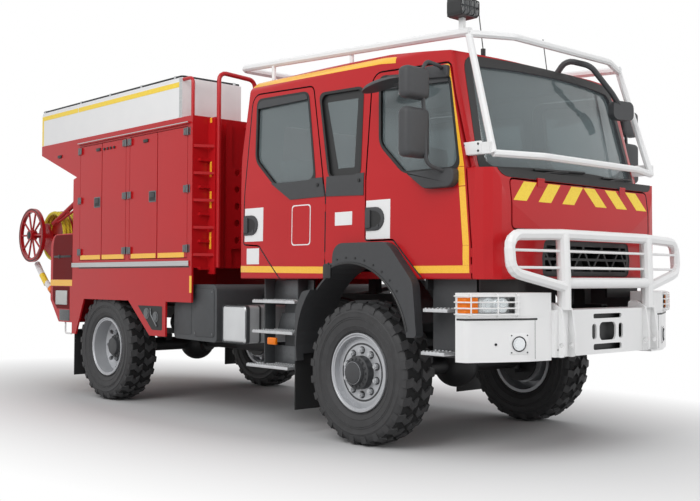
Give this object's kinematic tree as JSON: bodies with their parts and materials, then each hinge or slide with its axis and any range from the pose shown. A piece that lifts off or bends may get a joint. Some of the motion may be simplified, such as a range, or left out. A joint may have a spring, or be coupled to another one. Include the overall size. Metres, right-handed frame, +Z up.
{
  "type": "forest fire truck",
  "caption": "Four-wheel-drive fire truck with a double cab, front guard bars, locker body, roof coaming and a hose reel cart hung on the tail",
  "frame": {"origin": "middle of the bounding box on the ground", "axes": "X forward, Y to the driver's left, Z up"},
  "size_m": [7.4697, 2.91, 3.23],
  "materials": {
    "red_paint": "gloss",
    "dark_red_paint": "gloss",
    "white_paint": "gloss",
    "chassis_paint": "satin",
    "cast_engine": "cast",
    "rim_silver": "satin",
    "tyre_rubber": "matt",
    "dark_plastic": "grained",
    "flap_rubber": "matt",
    "seat_fabric": "woven",
    "window_glass": "clear",
    "lamp_glass": "clear",
    "step_metal": "tread plate",
    "hose_yellow": "woven"
  },
  "bodies": {
    "truck": {"chassis_frame": "chassis_paint", "engine_block": "cast_engine", "driveline": "chassis_paint", "front_axle": "chassis_paint", "rear_axle": "chassis_paint", "leaf_springs": "chassis_paint", "cab_body": "red_paint", "cab_glass": "window_glass", "grille": "dark_plastic", "cab_trim": "dark_plastic", "seats": "seat_fabric", "dashboard": "dark_plastic", "bumper": "white_paint", "headlamps": "lamp_glass", "bull_bar": "white_paint", "windscreen_guard": "white_paint", "work_lamp": "dark_plastic", "cab_steps": "step_metal", "side_tanks": "dark_plastic", "mudflaps": "flap_rubber", "body_shell": "red_paint", "body_skirt": "red_paint", "coaming": "white_paint", "ladder": "red_paint", "tail_boxes": "red_paint", "reel_frame": "dark_red_paint"},
    "knuckle_right": {"knuckle_r": "chassis_paint"},
    "knuckle_left": {"knuckle_l": "chassis_paint"},
    "wheel_front_right": {"wheel_fr": "rim_silver", "tyre_fr": "tyre_rubber"},
    "wheel_front_left": {"wheel_fl": "rim_silver", "tyre_fl": "tyre_rubber"},
    "wheel_rear_right": {"wheel_rr": "rim_silver", "tyre_rr": "tyre_rubber"},
    "wheel_rear_left": {"wheel_rl": "rim_silver", "tyre_rl": "tyre_rubber"},
    "front_lid": {"front_lid": "red_paint"},
    "door_front_right": {"door_fr": "red_paint", "glass_fr": "window_glass", "mirror_r": "dark_plastic"},
    "door_front_left": {"door_fl": "red_paint", "glass_fl": "window_glass", "mirror_l": "dark_plastic"},
    "door_rear_right": {"door_rr": "red_paint", "glass_rr": "window_glass"},
    "door_rear_left": {"door_rl": "red_paint", "glass_rl": "window_glass"},
    "leaf_right_1": {"leaf_r1": "red_paint"},
    "leaf_right_2": {"leaf_r2": "red_paint"},
    "leaf_right_3": {"leaf_r3": "red_paint"},
    "leaf_right_4": {"leaf_r4": "red_paint"},
    "leaf_left_1": {"leaf_l1": "red_paint"},
    "leaf_left_2": {"leaf_l2": "red_paint"},
    "leaf_left_3": {"leaf_l3": "red_paint"},
    "leaf_left_4": {"leaf_l4": "red_paint"},
    "reel": {"reel_drum": "hose_yellow"}
  },
  "joints": [
    {"name": "steer_right", "type": "hinge", "parent": "truck", "child": "knuckle_right", "pos_m": [2.23, -0.77, 0.545], "axis": [0, 0, 1], "range_deg": [-30, 30]},
    {"name": "steer_left", "type": "hinge", "parent": "truck", "child": "knuckle_left", "pos_m": [2.23, 0.77, 0.545], "axis": [0, 0, 1], "range_deg": [-30, 30]},
    {"name": "spin_front_right", "type": "hinge", "parent": "knuckle_right", "child": "wheel_front_right", "pos_m": [2.23, -0.986, 0.545], "axis": [0, 1, 0], "continuous": true},
    {"name": "spin_front_left", "type": "hinge", "parent": "knuckle_left", "child": "wheel_front_left", "pos_m": [2.23, 0.986, 0.545], "axis": [0, 1, 0], "continuous": true},
    {"name": "spin_rear_right", "type": "hinge", "parent": "truck", "child": "wheel_rear_right", "pos_m": [-1.57, -0.986, 0.545], "axis": [0, 1, 0], "continuous": true},
    {"name": "spin_rear_left", "type": "hinge", "parent": "truck", "child": "wheel_rear_left", "pos_m": [-1.57, 0.986, 0.545], "axis": [0, 1, 0], "continuous": true},
    {"name": "door_front_right_swing", "type": "hinge", "parent": "truck", "child": "door_front_right", "pos_m": [3.3215, -1.084, 1.9], "axis": [0, 0, 1], "range_deg": [0, 70]},
    {"name": "door_front_left_swing", "type": "hinge", "parent": "truck", "child": "door_front_left", "pos_m": [3.3215, 1.084, 1.9], "axis": [0, 0, -1], "range_deg": [0, 70]},
    {"name": "door_rear_right_swing", "type": "hinge", "parent": "truck", "child": "door_rear_right", "pos_m": [1.8165, -1.084, 1.9], "axis": [0, 0, 1], "range_deg": [0, 70]},
    {"name": "door_rear_left_swing", "type": "hinge", "parent": "truck", "child": "door_rear_left", "pos_m": [1.8165, 1.084, 1.9], "axis": [0, 0, -1], "range_deg": [0, 70]},
    {"name": "leaf_right_1_swing", "type": "hinge", "parent": "truck", "child": "leaf_right_1", "pos_m": [-2.091, -1.1803, 2.04], "axis": [0, 0, -1], "range_deg": [0, 90]},
    {"name": "leaf_right_2_swing", "type": "hinge", "parent": "truck", "child": "leaf_right_2", "pos_m": [-1.11, -1.1803, 2.04], "axis": [0, 0, 1], "range_deg": [0, 90]},
    {"name": "leaf_right_3_swing", "type": "hinge", "parent": "truck", "child": "leaf_right_3", "pos_m": [-1.061, -1.1803, 2.04], "axis": [0, 0, -1], "range_deg": [0, 90]},
    {"name": "leaf_right_4_swing", "type": "hinge", "parent": "truck", "child": "leaf_right_4", "pos_m": [-0.001, -1.1803, 2.04], "axis": [0, 0, 1], "range_deg": [0, 90]},
    {"name": "leaf_left_1_swing", "type": "hinge", "parent": "truck", "child": "leaf_left_1", "pos_m": [-2.091, 1.1803, 2.04], "axis": [0, 0, 1], "range_deg": [0, 90]},
    {"name": "leaf_left_2_swing", "type": "hinge", "parent": "truck", "child": "leaf_left_2", "pos_m": [-1.11, 1.1803, 2.04], "axis": [0, 0, -1], "range_deg": [0, 90]},
    {"name": "leaf_left_3_swing", "type": "hinge", "parent": "truck", "child": "leaf_left_3", "pos_m": [-1.061, 1.1803, 2.04], "axis": [0, 0, 1], "range_deg": [0, 90]},
    {"name": "leaf_left_4_swing", "type": "hinge", "parent": "truck", "child": "leaf_left_4", "pos_m": [-0.001, 1.1803, 2.04], "axis": [0, 0, -1], "range_deg": [0, 90]},
    {"name": "front_lid_swing", "type": "hinge", "parent": "truck", "child": "front_lid", "pos_m": [3.4782, 0, 1.9558], "axis": [0, -1, 0], "range_deg": [0, 75]},
    {"name": "reel_spin", "type": "hinge", "parent": "truck", "child": "reel", "pos_m": [-3.42, 0, 1.75], "axis": [0, 1, 0], "continuous": true}
  ],
  "couplings": [
    {"joint": "steer_left", "follows": "steer_right", "ratio": 1}
  ]
}
